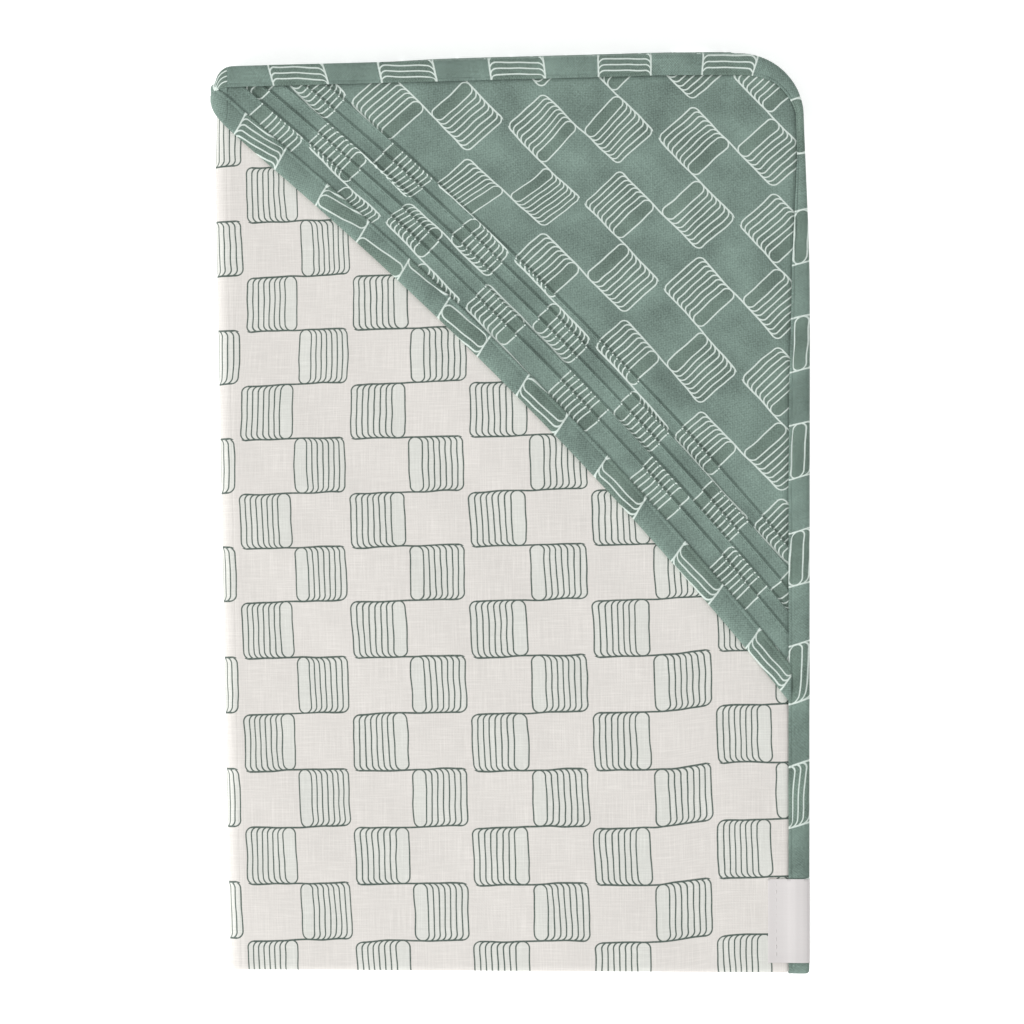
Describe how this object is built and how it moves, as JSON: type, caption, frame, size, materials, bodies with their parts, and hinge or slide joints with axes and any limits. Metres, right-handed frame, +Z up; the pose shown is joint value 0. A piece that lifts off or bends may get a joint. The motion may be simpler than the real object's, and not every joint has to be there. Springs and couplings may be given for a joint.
{
  "type": "hooded baby towel",
  "caption": "Hooded baby towel folded flat: printed cotton face, terry backing, bound edges with rounded corners, and a pintucked corner hood on top.",
  "frame": {"origin": "middle of the face that the folded towel lies on", "axes": "+Z up out of the stack, +Y to the head edge, +X to the bound side edge; the hood's sewn corner is at +X +Y"},
  "size_m": [0.2457, 0.3767, 0.0169],
  "materials": {
    "face_print": "printed cotton muslin, off-white with a dark grey-green line print",
    "terry": "looped cotton terry, plain off-white",
    "hood_print": "printed cotton muslin, sage green with a pale mint line print",
    "binding_print": "folded cotton strip in the hood's green print",
    "thread": "matt spun sewing thread, sage green",
    "label_satin": "plain woven satin ribbon, pale grey-white"
  },
  "bodies": {
    "end_third": {"end_face": "face_print", "end_backing": "terry", "end_binding": "binding_print", "end_binding_stitching": "thread", "right_fold_face": "face_print", "right_fold_backing": "terry", "right_fold_binding": "binding_print"},
    "middle_third": {"middle_face": "face_print", "middle_backing": "terry", "middle_binding": "binding_print", "middle_binding_stitching": "thread", "left_fold_face": "face_print", "left_fold_backing": "terry", "left_fold_binding": "binding_print", "hood_tip": "hood_print"},
    "front_third": {"front_face": "face_print", "front_backing": "terry", "front_binding": "binding_print", "front_binding_stitching": "thread", "hood_margin": "hood_print", "label": "label_satin", "label_stitching": "thread"},
    "hood": {"hood_panel": "hood_print", "hood_lining": "terry", "hood_edge_binding": "binding_print", "hood_edge_stitching": "thread", "hood_tuck_stitching": "thread"}
  },
  "joints": [
    {"name": "right_fold", "type": "hinge", "parent": "end_third", "child": "middle_third", "pos_m": [0.1173, 0, 0.00475], "axis": [0, 1, 0], "range_deg": [0, 179.5], "deforming": ["right_fold_face", "right_fold_backing", "right_fold_binding"]},
    {"name": "left_fold", "type": "hinge", "parent": "middle_third", "child": "front_third", "pos_m": [-0.1162, 0, 0.00965], "axis": [0, -1, 0], "range_deg": [0, 179.5], "deforming": ["left_fold_face", "left_fold_backing", "left_fold_binding", "hood_tip"]},
    {"name": "hood_lift", "type": "hinge", "parent": "front_third", "child": "hood", "pos_m": [0.1093, 0.1746, 0.0147], "axis": [-0.6928, 0.7212, 0], "range_deg": [0, 12]}
  ]
}
